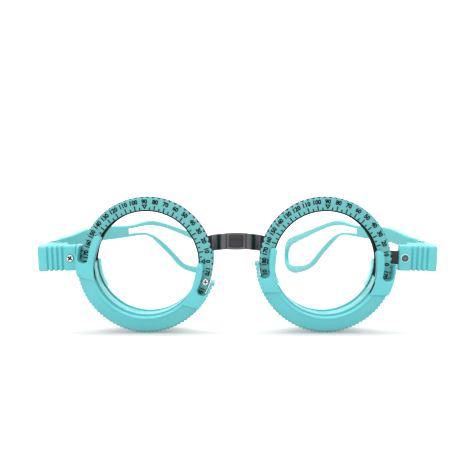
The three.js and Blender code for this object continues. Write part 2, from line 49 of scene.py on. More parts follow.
# Driving sizes, in millimetres: the solids' own, but for small fits to the photograph
MM = 0.001
SIDES = {"left": -1, "right": 1}
GAP = 0.3
DIAL_THICKNESS = 1.2
DIAL_BORE = 18.4
DIAL_RADIUS = 23.0
SCALLOP_COUNT = 72
SCALLOP_DEPTH = 0.66
SCALLOP_POWER = 0.8
SCALLOP_AT_SCREWS = 0.5
SCALLOP_SCREW_SPAN = 4
SCREW_CIRCLE = 21.4
SCREW_ANGLES = {"inner": 200.0, "outer": -20.0}
SCREW_HEAD = 1.15
SCREW_HEAD_HEIGHT = 0.7
SEAT_GAP = 0.06
CHASSIS_INNER = 20.2
CHASSIS_OUTER = 22.9
CHASSIS_DEPTHS = (1.2, 4.6)
CHASSIS_FLANGE = (18.4, 21.55, 3.3)
TAB_DEPTHS = (3.3, 4.3)
TAB_HEIGHTS = (-0.35, 4.45)
TAB_REACH = 10.0
LENS_SLOT = 19.2
CELL_OUTER = 22.6
CELL_DEPTHS = (4.6, 5.9, 8.0, 8.8)
CELL_LIP = 18.25
CELL_ANGLES = (-185.5, 3)
CLAW_RADII = (17.35, 20.9)
CLAW_ANGLES = [(-30, 3), (-194, -150)]
BLOCK_SEATS = {"left": 25.0, "right": 26.0}
BLOCK_LENGTH = 13.5
BLOCK_DEPTHS = (2.25, 12.45)
BLOCK_BOTTOM = -2.5
BLOCK_TOP = 6.6
BLOCK_FILLET = 0.9
NECK_WALL = 0.75
GROOVE_COUNT = 4
GROOVE_FIRST = 4.65
GROOVE_PITCH = 1.767
GROOVE_DEPTH = 0.58
GROOVE_HALF = 0.52
HINGE_PLACE = 11.3
HINGE_DEPTH = 15.15
HINGE_ROD = 0.8
HINGE_HEAD = (1.3, 0.4)
EAR_HEIGHT = 3.1
BARREL_RADIUS = 2.2
LUG_ROOT = 2.0

# Block: the rounding of its near and far end, and where its sections lie as (from, to, how many)
BLOCK_ROUNDS = (0.3, 0.6)
BLOCK_STATIONS = [(0.4, 4, 8), (4.05, 10.8, 100), (10.95, 12.89, 6)]

# Fasteners: arms of the cross recesses as shares of the head (reach, half width), and their turns;
# rings as (inner radius, outer radius, front, back); heads and the pin's centre as (radius,
# height); the rivets' places as shares of the bridge's height
DIAL_CROSS_SHARES = (0.62, 0.16)
DIAL_CROSS_TURN = 8
BLOCK_CROSS_SHARES = (0.78, 0.24)
BLOCK_CROSS_TURN = 38
RECESS_DEPTH = 0.1
FASTENER_PLACE = 2.1
FASTENER_HEIGHT = 2.05
FASTENER_RADIUS = 1.2
FASTENER_PROUD = 0.4
# A dark ring of painted shade in the gap round the left block's screw head
SCREW_SHADE_RING = (1.1, 1.36, 2.2, 2.4)
PIN_COLLAR = (1.22, 1.5, 2.1, 2.4)
PIN_CENTRE = (0.32, 0.2)
RIVET_SHARES = {"low": 0.37, "high": 0.874}
RIVET_SHANK = 0.5
RIVET_FRONT = 1.5
RIVET_HEAD = (0.95, 0.5)

# Carrier and collar: sections as (inner radius, outer radius, front, back), angles in degrees
ROTOR_RADIUS = 18.1
CARRIER_FLANGE = (18.4, 19.9, 1.5, 2.1)
CARRIER_BARREL = (17.94, ROTOR_RADIUS, 0.1, 5.6)
BARREL_ANGLES = (-14, 194)
CARRIER_NECK = (18.0, 18.6, 1.6, 2.0)
NECK_ANGLES = (-13, 193)
COLLAR_INNER = 17.95
COLLAR_BACK = 3.7
COLLAR_ANGLES = (-165, -15)
HOOK = (17.85, 19.0, 2.4, 3.0)
HOOK_ANGLES = (215, 270, 325)
HOOK_HALF_ANGLE = 5.5

# Lens holder, with the turn that each one has in the photograph
HOLDER_TURNS = {"left": 17.0, "right": 0.0}
HOLDER_FRONT = -3.9
HOLDER_SLOT = (-3.0, -0.9)
WEB_BACK = -0.3
BAND_LIP = 18.2
BAND_FRONT = [(BAND_LIP, -3.2), (18.62, -3.66), (19.12, -3.68), (19.42, -3.3), (23.4, -2.3)]
BAND_OUTER = 23.6
BAND_ANGLES = (-161, -19)
RIM_RADII = (23.12, 24.3)
RIM_DEPTHS = (-2.4, 2.5)
RIM_LAND = 0.2
RIM_BEVEL = 1.1
PAD_OUTER = 23.9
PAD_DROP = 10.2
PAD_TIPS = (17.4, 18.3)
ARM_OUTER = 19.7
ARM_ANGLE = 12.0
WINDOW_ANGLE = 10.0
WINDOW_OUTER = 23.25
LUG_RADIUS = 24.6
LUG_ANGLE = 3.0
KNURL_COUNT = 52
KNURL_DEPTH = 0.35
KNURL_STEP = 0.42
KNURL_BAND = 0.25

# Bridge: its plan bends back between the two distances from the middle that BRIDGE_BEND gives
BRIDGE_HALF = 12.5
BRIDGE_HEIGHT = 5.55
BRIDGE_BOTTOM = 2.5
BRIDGE_ARCH = 2.35
BRIDGE_FLARE = 0.6
BRIDGE_THICKNESS = 0.9
BRIDGE_LAP = 5.05
BRIDGE_FORWARD = 3.15
BRIDGE_BEND = (4.0, 8.25)
BRIDGE_BEND_POWER = 1.3
BRIDGE_STATIONS = 161

# Badge: its outline, the width of its raised frame, and its panel as (inset, depth below the frame)
BADGE_HALF = 3.25
BADGE_BACK = 1.45
BADGE_THICKNESS = 0.8
BADGE_MIDDLE = 7.5
BADGE_HEIGHT = 5.95
BADGE_BULGE = 0.15
BADGE_FRAME = 0.72
BADGE_PANEL = (0.6, 0.28)

# Rounded edges, from the widest to the narrowest
ROUNDS = {
    "blade": 0.4, "bar": 0.25, "lip": 0.22, "head": 0.2, "pin": 0.18, "rim": 0.18, "band": 0.16,
    "cell": 0.15, "fine": 0.1, "flange": 0.08, "metal": 0.05, "thin": 0.04, "hair": 0.02,
    "recess": 0.01,
}

# How far one shape runs into the next, and the step between faces that would lie in one plane
OVERLAP = 0.1
LIP_OVERLAP = 0.08
SLIVER = 0.02

# Mesh making: steps round an edge or corner, the most of a side that a rounded corner takes, how
# flat faces are filled, and the distance in metres within which points are one
ROUND_STEPS = 3
CORNER_SHARE = 0.45
INSIDE_EDGES = 1
FILL_TOLERANCE = 1e-6
MERGE_DISTANCE = 1e-7

# Temples: outline and loop opening as shares of the length and the drop
TEMPLE_LENGTH = 128.4
TEMPLE_DROP = 23.6
TEMPLE_THICKNESS = 2.2
TEMPLE_ANGLES = {"left": 24.9, "right": 18.4}
TEMPLE_OUTLINE_SHARES = [
    (0.008, 0.301), (0.075, 0.331), (0.148, 0.39), (0.218, 0.398), (0.3, 0.371), (0.358, 0.343),
    (0.401, 0.339), (0.448, 0.354), (0.495, 0.367), (0.533, 0.356), (0.572, 0.316),
    (0.654, 0.201), (0.74, 0.074), (0.837, -0.072), (0.927, -0.208), (0.974, -0.314),
    (0.994, -0.432), (1, -0.589), (0.999, -0.758), (0.988, -0.894), (0.958, -0.983), (0.911, -1),
    (0.861, -0.966), (0.81, -0.894), (0.754, -0.784), (0.711, -0.657), (0.681, -0.534),
    (0.646, -0.39), (0.609, -0.254), (0.573, -0.123), (0.539, -0.004), (0.51, 0.068),
    (0.479, 0.106), (0.436, 0.125), (0.374, 0.133), (0.312, 0.14), (0.234, 0.157), (0.148, 0.165),
    (0.093, 0.119), (0.051, -0.021),
]
LOOP_OPENING_SHARES = [
    (0.372, 0.286), (0.413, 0.284), (0.456, 0.288), (0.498, 0.28), (0.545, 0.252), (0.6, 0.197),
    (0.654, 0.117), (0.732, -0.013), (0.813, -0.161), (0.893, -0.301), (0.95, -0.419),
    (0.974, -0.508), (0.984, -0.619), (0.983, -0.758), (0.971, -0.835), (0.938, -0.864),
    (0.864, -0.822), (0.79, -0.742), (0.748, -0.665), (0.709, -0.538), (0.669, -0.381),
    (0.632, -0.242), (0.593, -0.106), (0.553, 0.013), (0.516, 0.097), (0.475, 0.155),
    (0.432, 0.176), (0.372, 0.184),
]

# Printed scale: degrees run anticlockwise from the right-hand side, and start again at the left;
# ticks as (inner radius, outer radius), the pointer as (radius of its tip, of its base, half width)
NUMBER_CIRCLE = 21.3
NUMBER_HEIGHT = 1.72
NUMBER_NARROWING = 0.95
NUMBER_WEIGHT = 0.055
LONG_TICK = (18.5, 20.05)
SHORT_TICK = (18.5, 19.3)
TICK_WIDTH = 0.42
POINTER = (18.6, 20.3, 1.05)
POINTER_LINE = 0.8
POINTER_MARKS = (0, 90, 180)
MARKS_UNDER_SCREWS = (200, 340)
INK_LIFT = 0.02

RING_CENTRES = {side: Vector(joints[f"holder_{side}_turn"]["pos_m"]) for side in SIDES}
HINGES = {side: Vector(joints[f"temple_{side}_swing"]["pos_m"]) for side in SIDES}
MIDDLE = (RING_CENTRES["left"] + RING_CENTRES["right"]) / 2
right_axis = joints["temple_right_swing"]["axis"]
DROOP = atan2(right_axis[0], right_axis[2])

# Camera, fitted to the photograph: distance before the dials, height over the ring centres,
# distance to the right, tilt and lens
CAMERA_DISTANCE = 228.0
CAMERA_HEIGHT = 34.0
CAMERA_SIDE = 0.3
CAMERA_TILT = 6.24
CAMERA_LENS = 50.44

# Light: strength of the white world, and the softboxes as place, aim, size and watts
WORLD_STRENGTH = 0.84
SOFTBOXES = {
    "overhead_softbox": ((0.0, 0.1, 0.9), (0.0, 0.05, 0.0), (1.5, 1.3), 20.0),
    "front_softbox": ((-0.25, -1.1, 0.55), (0.0, 0.0, 0.02), (0.8, 0.5), 7.5),
}

# Glow of the floor by depth, from 0.1 m before the middle of the frame's box: least under the rims
GLOW_START = 0.1
GLOW_SHARES = [(0.0, 0.5), (0.012, 0.42), (0.025, 0.36), (0.029, 0.16), (0.032, 0.12), (0.038, 0.5),
               (0.14, 0.5), (0.9, 1.0)]

# Floor, in metres: its reach forward, sideways and up, where its sweep starts, and how much it
# rises per metre under the frame, which leans back on its loops
FLOOR_REACH = 3.0
SWEEP_START = 1.0
SWEEP_RADIUS = 0.8
FLOOR_RISE = 0.0052


def make_camera():
    data = bpy.data.cameras.new("photo_camera")
    data.lens = CAMERA_LENS
    data.sensor_width = 36.0
    data.clip_start = 0.01
    data.clip_end = 20.0
    camera = bpy.data.objects.new("photo_camera", data)
    scene.collection.objects.link(camera)
    camera.location = MIDDLE + MM * Vector((CAMERA_SIDE, -CAMERA_DISTANCE, CAMERA_HEIGHT))
    camera.rotation_euler = (radians(90 - CAMERA_TILT), 0, 0)
    scene.camera = camera


def area_light(name, place, aim, size, watts):
    data = bpy.data.lights.new(name, "AREA")
    data.shape = "RECTANGLE"
    data.size, data.size_y = size
    data.energy = watts
    lamp = bpy.data.objects.new(name, data)
    lamp.location = place
    lamp.rotation_euler = (Vector(aim) - Vector(place)).to_track_quat("-Z", "Y").to_euler()
    scene.collection.objects.link(lamp)


def make_lights():
    world = bpy.data.worlds.new("white_studio")
    world.use_nodes = True
    background = world.node_tree.nodes["Background"]
    background.inputs["Color"].default_value = (1.0, 1.0, 1.0, 1)
    background.inputs["Strength"].default_value = WORLD_STRENGTH
    scene.world = world
    for name, softbox in SOFTBOXES.items():
        area_light(name, *softbox)


# Materials

def linear(red, green, blue):
    """An 8-bit colour as the linear colour that shaders take."""
    shares = np.array([red, green, blue]) / 255
    low, high = shares / 12.92, ((shares + 0.055) / 1.055) ** 2.4
    return (*np.where(shares <= 0.04045, low, high), 1.0)


def new_material(name):
    material = bpy.data.materials.new(name)
    material.use_nodes = True
    tree = material.node_tree
    shader = tree.nodes["Principled BSDF"]
    coordinates = tree.nodes.new("ShaderNodeTexCoord")
    return material, tree, shader, coordinates.outputs["Object"]


def noise(tree, place, scale, detail=3.0, roughness=0.5):
    node = tree.nodes.new("ShaderNodeTexNoise")
    node.inputs["Scale"].default_value = scale
    node.inputs["Detail"].default_value = detail
    node.inputs["Roughness"].default_value = roughness
    tree.links.new(place, node.inputs["Vector"])
    return node.outputs["Fac"]


def ramp(tree, value, stops):
    node = tree.nodes.new("ShaderNodeValToRGB")
    elements = node.color_ramp.elements
    while len(elements) < len(stops):
        elements.new(0.5)
    for element, (place, colour) in zip(elements, stops):
        element.position = place
        element.color = colour
    tree.links.new(value, node.inputs["Fac"])
    return node.outputs["Color"]


def bump(tree, shader, height, distance, strength):
    node = tree.nodes.new("ShaderNodeBump")
    node.inputs["Distance"].default_value = distance
    node.inputs["Strength"].default_value = strength
    tree.links.new(height, node.inputs["Height"])
    tree.links.new(node.outputs["Normal"], shader.inputs["Normal"])


def grey(value):
    return (value, value, value, 1.0)


def set_inputs(shader, values):
    for name, value in values.items():
        shader.inputs[name].default_value = value


def coordinate(tree, place, axis):
    """One coordinate of a place, by its axis's letter."""
    parts = tree.nodes.new("ShaderNodeSeparateXYZ")
    tree.links.new(place, parts.inputs["Vector"])
    return parts.outputs[axis]


def arithmetic(tree, operation, value, number=0.0):
    node = tree.nodes.new("ShaderNodeMath")
    node.operation = operation
    node.inputs[1].default_value = number
    tree.links.new(value, node.inputs[0])
    return node.outputs["Value"]


def uneven_gloss(tree, shader, place, scale, detail, low, high):
    """Roughness that drifts between two values."""
    drift = noise(tree, place, scale, detail)
    gloss = ramp(tree, drift, [(0.3, grey(low)), (0.7, grey(high))])
    tree.links.new(gloss, shader.inputs["Roughness"])


def moulded_plastic(name, low, high, roughness, subsurface, gloss_level):
    """Satin moulded plastic: soft colour drift, uneven gloss and a very fine moulded grain."""
    material, tree, shader, place = new_material(name)
    drift = noise(tree, place, scale=90.0, detail=4.0)
    tones = ramp(tree, drift, [(0.35, linear(*low)), (0.65, linear(*high))])
    tree.links.new(tones, shader.inputs["Base Color"])
    uneven_gloss(tree, shader, place, 420.0, 2.0, roughness - 0.06, roughness + 0.06)
    grain = noise(tree, place, scale=2600.0, detail=2.0)
    bump(tree, shader, grain, distance=0.00002, strength=0.1)
    set_inputs(shader, {
        "Specular IOR Level": gloss_level, "IOR": 1.48, "Subsurface Weight": subsurface,
        "Subsurface Radius": (0.4, 1.0, 1.0), "Subsurface Scale": 0.0015,
    })
    return material


def metal_finish(name, low, high, roughness, metallic, grain, gloss_level):
    """Metal or enamelled metal: mottled tone, uneven gloss and fine scratches along X."""
    material, tree, shader, place = new_material(name)
    mapping = tree.nodes.new("ShaderNodeMapping")
    mapping.inputs["Scale"].default_value = (0.12, 1.0, 1.0)
    tree.links.new(place, mapping.inputs["Vector"])
    scratches = noise(tree, mapping.outputs["Vector"], grain, detail=5.0, roughness=0.65)
    tones = ramp(tree, scratches, [(0.35, linear(*low)), (0.68, linear(*high))])
    tree.links.new(tones, shader.inputs["Base Color"])
    uneven_gloss(tree, shader, place, 500.0, 3.0, roughness - 0.08, roughness + 0.1)
    bump(tree, shader, scratches, distance=0.00003, strength=0.4)
    set_inputs(shader, {"Specular IOR Level": gloss_level, "Metallic": metallic})
    return material


def banded_metal(name, bands, roughness):
    """Dark chrome: painted reflections and shade in bands that follow |x + shift| over the bridge's
    half length; fine scratches.
    """
    material, tree, shader, place = new_material(name)
    shifted = arithmetic(tree, "ADD", coordinate(tree, place, "X"), BAND_SHIFT * MM)
    away = arithmetic(tree, "ABSOLUTE", shifted)
    share = arithmetic(tree, "MULTIPLY", away, 1 / (MM * BRIDGE_HALF))
    mix = tree.nodes.new("ShaderNodeMix")
    mix.data_type = "RGBA"
    mix.blend_type = "MULTIPLY"
    mix.inputs["Factor"].default_value = 0.5
    stops = [(reach / BRIDGE_HALF, REFLECTION_TONES[tone]) for reach, tone in bands]
    tree.links.new(ramp(tree, share, stops), mix.inputs["A"])
    scratches = noise(tree, place, scale=1400.0, detail=5.0, roughness=0.65)
    tree.links.new(ramp(tree, scratches, [(0.3, grey(0.6)), (0.7, grey(1.0))]), mix.inputs["B"])
    tree.links.new(mix.outputs["Result"], shader.inputs["Base Color"])
    uneven_gloss(tree, shader, place, 500.0, 3.0, roughness - 0.08, roughness + 0.1)
    set_inputs(shader, {"Metallic": 0.5})
    return material


def floor_finish():
    """Seamless studio board, barely mottled, that glows softly except in a strip under the rims."""
    material, tree, shader, place = new_material("studio_board")
    mottle = ramp(tree, noise(tree, place, scale=12.0), [(0.3, grey(0.42)), (0.7, grey(0.44))])
    tree.links.new(mottle, shader.inputs["Base Color"])
    ahead = arithmetic(tree, "ADD", coordinate(tree, place, "Y"), GLOW_START)
    glow = ramp(tree, ahead, [(depth, grey(share)) for depth, share in GLOW_SHARES])
    tree.links.new(glow, shader.inputs["Emission Strength"])
    set_inputs(shader, {"Roughness": 0.7, "Specular IOR Level": 0.1, "Emission Color": grey(1.0)})
    return material


# Plastics and ink: low and high tone, roughness, subsurface, gloss level
PLASTICS = {
    "holder_plastic": ((82, 166, 170), (85, 169, 173), 0.34, 0.1, 0.35),
    "cell_plastic": ((80, 168, 168), (84, 171, 171), 0.4, 0.2, 0.3),
    # Painted light: a pale copy of the teal plastic, for the claws and the pin's collar shown
    # brightly lit
    "pale_lit_plastic": ((178, 226, 226), (182, 229, 229), 0.4, 0.5, 0.3),
    "dial_plastic": ((76, 148, 149), (79, 151, 152), 0.4, 0.05, 0.5),
    "temple_plastic": ((72, 163, 163), (76, 166, 166), 0.36, 0.25, 0.5),
    # The ink is the scale's print, and also paints shade in the screw recesses and round the left
    # block's screw
    "ink_and_painted_shade": ((5, 12, 15), (9, 17, 20), 0.6, 0.0, 0.1),
}

# Metals: low and high tone, roughness, metallic share, scale of the grain, gloss level
METALS = {
    "black_metal": ((28, 32, 35), (42, 46, 51), 0.45, 0.2, 900.0, 0.3),
    "blackened_metal": ((4, 12, 14), (8, 18, 20), 0.7, 0.0, 900.0, 0.02),
    "panel_metal": ((36, 36, 39), (52, 51, 55), 0.42, 0.4, 700.0, 0.3),
    "chrome": ((200, 200, 205), (228, 228, 230), 0.2, 1.0, 1500.0, 0.5),
    "grey_pin": ((56, 66, 70), (74, 82, 87), 0.45, 0.4, 1200.0, 0.5),
    "pin_centre": ((112, 104, 110), (130, 122, 128), 0.5, 0.2, 1200.0, 0.3),
}

# The bridge's dark chrome: its tones of painted reflection and painted shade, and the bands of them
# by distance from its middle
REFLECTION_TONES = {
    "plain": linear(82, 80, 82), "shaded": linear(38, 37, 40), "teal_reflection": linear(16, 48, 46),
    "bright_reflection": linear(125, 117, 126), "darkest_reflection": linear(6, 34, 36),
}
PAINTED_REFLECTION_BANDS = [
    (0.0, "plain"), (3.0, "plain"), (3.4, "shaded"), (3.8, "plain"), (5.0, "plain"), (5.5, "teal_reflection"),
    (6.4, "teal_reflection"), (7.1, "bright_reflection"), (8.1, "bright_reflection"), (8.6, "darkest_reflection"),
]
BAND_SHIFT = 0.5
BRIDGE_ROUGHNESS = 0.34

MATERIALS = {
    **{name: moulded_plastic(name, *finish) for name, finish in PLASTICS.items()},
    **{name: metal_finish(name, *finish) for name, finish in METALS.items()},
    "bridge_metal": banded_metal("bridge_metal", PAINTED_REFLECTION_BANDS, BRIDGE_ROUGHNESS),
}


# Places

def eye_matrix(side):
    """Eye millimetres (X outward, Y back, Z up about the ring centre) to the frame's metres."""
    return ring_matrix(side) @ Matrix.Diagonal((SIDES[side], 1, 1, 1))


def ring_matrix(side, turn=0.0):
    """Millimetres right, back and up of a ring centre, turned in degrees, to the frame's metres."""
    turned = Matrix.Rotation(SIDES[side] * DROOP + radians(turn), 4, "Y")
    return Matrix.Translation(RING_CENTRES[side]) @ turned @ Matrix.Diagonal((MM, MM, MM, 1))


def middle_matrix():
    """Millimetres about the middle of the two ring centres to the frame's metres."""
    return Matrix.Translation(MIDDLE) @ Matrix.Diagonal((MM, MM, MM, 1))


def temple_matrix(side):
    """Blade millimetres (X across, Y along, Z up about the hinge pin) to the frame's metres."""
    sign = SIDES[side]
    droop = Matrix.Rotation(sign * DROOP, 4, "Y")
    swing = Matrix.Rotation(radians(sign * TEMPLE_ANGLES[side]), 4, "Z")
    hung = Matrix.Translation(HINGES[side]) @ droop @ swing
    return hung @ Matrix.Diagonal((sign * MM, MM, MM, 1))


def placed(points, matrix):
    """Points of an (n, 3) array moved by a 4 x 4 matrix."""
    turn = np.array(matrix.to_3x3())
    return points @ turn.T + np.array(matrix.translation)


# Meshes

def linked(mesh):
    piece = bpy.data.objects.new(mesh.name, mesh)
    scene.collection.objects.link(piece)
    return piece


def finish_piece(piece, body, material, replaced=()):
    """Gives a piece its material, the body it rides on and the nodes it stands for."""
    piece.data.materials.clear()
    piece.data.materials.append(MATERIALS[material])
    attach(piece, body)
    if replaced:
        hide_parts(*replaced)


def add_piece(name, shape, matrix, body, material, *replaced, smooth_angle=35):
    """A finished piece from points and faces, put in the frame, its edges sharp past an angle."""
    points, faces = shape
    mesh = bpy.data.meshes.new(name)
    mesh.from_pydata(placed(points, matrix).tolist(), [], faces)
    mesh.validate()
    merged = bmesh.new()
    merged.from_mesh(mesh)
    bmesh.ops.remove_doubles(merged, verts=merged.verts, dist=MERGE_DISTANCE)
    bmesh.ops.recalc_face_normals(merged, faces=merged.faces)
    merged.to_mesh(mesh)
    merged.free()
    mesh.shade_smooth()
    mesh.set_sharp_from_angle(angle=radians(smooth_angle))
    finish_piece(linked(mesh), body, material, replaced)


def grid_faces(rows, columns, closed_rows=False, start=0):
    """Quads over a grid of points that is numbered row by row and closed along each row."""
    row = np.arange(rows if closed_rows else rows - 1)
    i, j = np.meshgrid(row, np.arange(columns), indexing="ij")
    next_i, next_j = (i + 1) % rows, (j + 1) % columns
    corners = np.stack([i * columns + j, i * columns + next_j, next_i * columns + next_j,
                        next_i * columns + j], axis=-1)
    return (corners.reshape(-1, 4) + start).tolist()


def end_caps(corners, total):
    """One face over the first section of a swept body and one over the last."""
    return [list(range(corners)), list(range(total - corners, total))[::-1]]


def inset_loop(loop, distance):
    """A closed loop moved to its left by a distance, each point along its edges' mean normal."""
    along = np.roll(loop, -1, axis=0) - loop
    across = np.stack([-along[:, 1], along[:, 0]], axis=1)
    across /= np.linalg.norm(across, axis=1, keepdims=True)
    mean = across + np.roll(across, 1, axis=0)
    mean /= np.linalg.norm(mean, axis=1, keepdims=True)
    return loop + distance * mean


def edge_profile(front, back, radius):
    """(inset, depth) pairs down the side of a plate whose two edges are quarter rounds."""
    turn = np.linspace(0, pi / 2, ROUND_STEPS + 1)
    near = np.stack([radius * (1 - np.sin(turn)), front + radius * (1 - np.cos(turn))], axis=1)
    far = np.stack([radius * (1 - np.cos(turn)), back - radius * (1 - np.sin(turn))], axis=1)
    return np.concatenate([near, far])


def plate(outer, holes, front, back, radius):
    """A flat plate with rounded edges: (across, up) loops, outer anticlockwise and holes clockwise.

    Each loop is carried down the edge profile, inset by the profile's round, and the two flat faces
    are filled between the innermost loops. Returns points (across, depth, up) and faces."""
    profile = edge_profile(front, back, radius)
    points, faces, rims = [], [], {0: [], -1: []}
    start = 0
    for loop in [outer, *holes]:
        band = np.stack([np.insert(inset_loop(loop, inset), 1, depth, axis=1)
                         for inset, depth in profile])
        points.append(band.reshape(-1, 3))
        faces += grid_faces(*band.shape[:2], start=start)
        rims[0].append((band[0], start))
        rims[-1].append((band[-1], start + (len(profile) - 1) * len(loop)))
        start += len(profile) * len(loop)
    for rim in rims.values():
        faces += flat_fill(rim)
    return np.concatenate(points), faces


def flat_fill(rim):
    """Triangles between closed loops in one plane, each given with its first point's number."""
    flat = np.concatenate([loop[:, [0, 2]] for loop, _ in rim])
    numbers = np.concatenate([start + np.arange(len(loop)) for loop, start in rim])
    edges, start = [], 0
    for loop, _ in rim:
        here = start + np.arange(len(loop))
        edges += np.stack([here, np.roll(here, -1)], axis=1).tolist()
        start += len(loop)
    _, _, found, origin, _, _ = geometry.delaunay_2d_cdt(
        [Vector(point) for point in flat.tolist()], edges, [], INSIDE_EDGES, FILL_TOLERANCE)
    corners = np.array([[origin[corner][0] for corner in face] for face in found])
    kept = corners[encloses(flat, np.array(edges), flat[corners].mean(axis=1))]
    return numbers[kept].tolist()


def encloses(flat, edges, places):
    """Even-odd rule: whether a ray from each place towards +X crosses an odd number of edges."""
    (x0, z0), (x1, z1) = flat[edges[:, 0]].T, flat[edges[:, 1]].T
    across, up = places[:, :1], places[:, 1:]
    passes = (z0 > up) != (z1 > up)
    rise = np.where(z1 == z0, 1, z1 - z0)
    return ((passes & (across < x0 + (up - z0) / rise * (x1 - x0))).sum(axis=1) % 2) == 1


def ring_loop(radius, count, centre=(0.0, 0.0), clockwise=False):
    """A circle of points, or a wavy one where radius is an array of the same count."""
    angle = np.linspace(0, 2 * pi, count, endpoint=False)
    loop = np.stack([radius * np.cos(angle), radius * np.sin(angle)], axis=1) + np.array(centre)
    return loop[::-1] if clockwise else loop


def rounded(corners, radius, steps=ROUND_STEPS):
    """A closed outline, its corners made quadratic curves that start up to a radius before them."""
    corners = np.asarray(corners, float)
    before, after = np.roll(corners, 1, axis=0) - corners, np.roll(corners, -1, axis=0) - corners
    lengths = [np.linalg.norm(way, axis=1, keepdims=True) for way in (before, after)]
    first, last = [corners + way * np.minimum(radius / length, CORNER_SHARE)
                   for way, length in zip((before, after), lengths)]
    t = np.linspace(0, 1, steps + 1)[:, None, None]
    curve = (1 - t) ** 2 * first + 2 * t * (1 - t) * corners + t ** 2 * last
    return curve.transpose(1, 0, 2).reshape(-1, 2)


def swept(section, start, end, step=1.5, wave=None):
    """A closed (radius, depth) section carried round the ring's axis between two angles in degrees.

    A wave adds its value at each angle to the section's outermost radii, for knurls."""
    whole = abs(end - start) >= 360
    count = int(abs(end - start) / step) + 1
    angle = np.radians(np.linspace(start, end, count, endpoint=not whole))[:, None]
    radius = np.repeat(section[None, :, 0], count, axis=0)
    if wave is not None:
        outermost = section[:, 0] > section[:, 0].max() - KNURL_BAND
        radius = radius + np.where(outermost[None, :], wave(angle), 0)
    depth = np.repeat(section[None, :, 1], count, axis=0)
    sections = np.stack([radius * np.cos(angle), depth, radius * np.sin(angle)], axis=-1)
    return lofted(sections, whole)


def lofted(sections, whole=False):
    """A body through closed sections of equal counts, an array of (section, point, xyz).

    It is capped at both ends, unless it goes the whole way round."""
    count, corners = sections.shape[:2]
    faces = grid_faces(count, corners, closed_rows=whole)
    if not whole:
        faces += end_caps(corners, count * corners)
    return sections.reshape(-1, 3), faces


def upright(shape):
    """A plate made to face forward, laid flat: its depth becomes its height."""
    points, faces = shape
    return points[:, [0, 2, 1]], faces


def gathered(shapes):
    """Several closed shapes as one list of points and faces."""
    points, faces, start = [], [], 0
    for places, corners in shapes:
        points.append(places)
        faces += [[start + corner for corner in face] for face in corners]
        start += len(places)
    return np.concatenate(points), faces


def oblong(width, depth, height, centre, radius):
    """A block with rounded edges, made as a plate with rounded corners."""
    (x, y, z), half_width, half_height = centre, width / 2, height / 2
    corners = [(x - half_width, z - half_height), (x + half_width, z - half_height),
               (x + half_width, z + half_height), (x - half_width, z + half_height)]
    return plate(rounded(corners, 2 * radius), [], y - depth / 2, y + depth / 2, radius)


# Rings

def polar(radius, angle):
    return radius * cos(radians(angle)), radius * sin(radians(angle))


def arc(radius, start, end, count, centre=(0.0, 0.0)):
    """Points of an arc between two angles in degrees; the radius may change evenly on the way."""
    angle = np.radians(np.linspace(start, end, count))
    near, far = radius if isinstance(radius, tuple) else (radius, radius)
    radii = np.linspace(near, far, count)
    return np.stack([radii * np.cos(angle), radii * np.sin(angle)], axis=1) + np.array(centre)


def box_section(inner, outer, front, back):
    """A ring's four-cornered section, as (radius, depth)."""
    return [(inner, front), (outer, front), (outer, back), (inner, back)]


def dial(side):
    """The dial: a disc of radius R - d (1 - |cos(n a / 2)|)^p, n scallops, d less at the screws."""
    angle = np.linspace(0, 2 * pi, SCALLOP_COUNT * 8, endpoint=False)
    depth = np.full_like(angle, SCALLOP_DEPTH)
    holes = [ring_loop(DIAL_BORE, 240, clockwise=True)]
    for turn in SCREW_ANGLES.values():
        away = np.abs((angle - radians(turn) + pi) % (2 * pi) - pi)
        depth[away < radians(SCALLOP_SCREW_SPAN)] = SCALLOP_AT_SCREWS
        seat = polar(SCREW_CIRCLE, turn)
        holes.append(ring_loop(SCREW_HEAD + SEAT_GAP, 36, seat, clockwise=True))
    scallops = (1 - np.abs(np.cos(SCALLOP_COUNT * angle / 2))) ** SCALLOP_POWER
    outer = ring_loop(DIAL_RADIUS - depth * scallops, len(angle))
    shape = plate(outer, holes, 0, DIAL_THICKNESS, ROUNDS["fine"])
    add_piece(f"dial_disc_{side}", shape, eye_matrix(side), "front", "dial_plastic", f"dial_{side}")


def holder_end(inner, swell, sign):
    """Outline of one end of the holder, anticlockwise: pad, outer wall, window and arm."""
    foot = -degrees(asin(PAD_DROP / PAD_OUTER))
    inner_foot = -degrees(asin(PAD_DROP / (inner + swell)))
    window_half = (WINDOW_OUTER - ARM_OUTER) / 2
    window_foot = polar(ARM_OUTER + window_half, -WINDOW_ANGLE)
    arm_half = (ARM_OUTER - inner) / 2
    arm_tip = polar(inner + arm_half, ARM_ANGLE)
    outline = np.concatenate([
        arc(PAD_OUTER, foot, 0, 24),
        arc(WINDOW_OUTER, 0, -WINDOW_ANGLE, 12),
        arc(window_half, -WINDOW_ANGLE, -WINDOW_ANGLE - 180, 18, window_foot)[1:-1],
        arc(ARM_OUTER, -WINDOW_ANGLE, ARM_ANGLE, 20),
        arc(arm_half, ARM_ANGLE, ARM_ANGLE + 180, 16, arm_tip)[1:-1],
        arc(inner, ARM_ANGLE, 1, 12),
        arc((inner, inner + swell), 0, inner_foot, 24),
    ])
    return outline if sign > 0 else (outline * [-1, 1])[::-1]


def knurl(angle):
    """Pointed teeth: minus the depth times |sin| of the share of the way round, n half waves."""
    share = (angle + pi - radians(LUG_ANGLE)) / (pi - 2 * radians(LUG_ANGLE))
    return -KNURL_DEPTH * np.abs(np.sin(pi * KNURL_COUNT * share))


